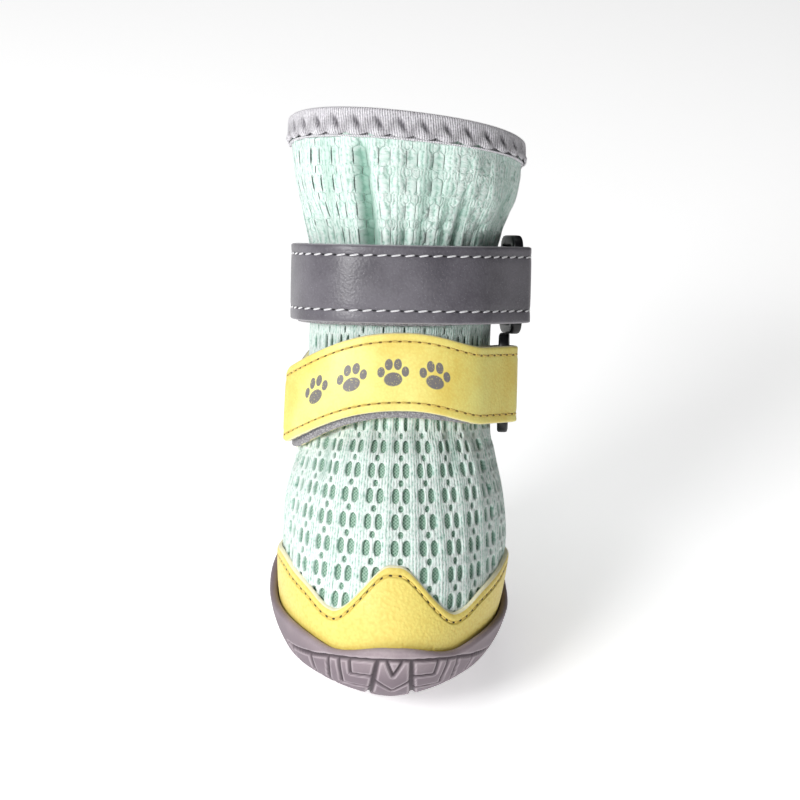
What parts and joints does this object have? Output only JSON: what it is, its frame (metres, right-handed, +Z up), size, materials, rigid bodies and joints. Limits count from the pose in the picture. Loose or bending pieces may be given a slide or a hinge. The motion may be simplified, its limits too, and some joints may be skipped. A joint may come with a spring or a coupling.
{
  "type": "dog boot",
  "caption": "Dog boot with a rubber cup sole, an air-mesh upper, a waved toe cap, a bound collar and two straps that turn back through plastic rings.",
  "frame": {"origin": "on the floor plane under the sole, at the middle of the forefoot's flat spot", "axes": "+Z up, the toe points to -Y, the rings sit on the +X side"},
  "size_m": [0.0674, 0.1233, 0.1436],
  "materials": {
    "outsole": "matt moulded rubber with a tyre-like tread",
    "insole": "felted foam sheet",
    "upper": "pale mint air-mesh knit over a darker lining",
    "toe_cap": "grained synthetic leather with a cut edge",
    "collar_band": "heather grey knit tape",
    "lower_strap": "grained synthetic leather strap over loop pile",
    "lower_ring": "black moulded plastic",
    "lower_ring_tab": "woven webbing",
    "upper_strap": "dark grey reflective coated strap",
    "upper_ring": "black moulded plastic",
    "upper_ring_tab": "woven webbing"
  },
  "bodies": {
    "root": {"outsole": "outsole", "insole": "insole", "upper": "upper", "toe_cap": "toe_cap", "collar_band": "collar_band", "lower_strap": "lower_strap", "lower_ring": "lower_ring", "lower_ring_tab": "lower_ring_tab", "upper_strap": "upper_strap", "upper_ring": "upper_ring", "upper_ring_tab": "upper_ring_tab"}
  },
  "joints": []
}
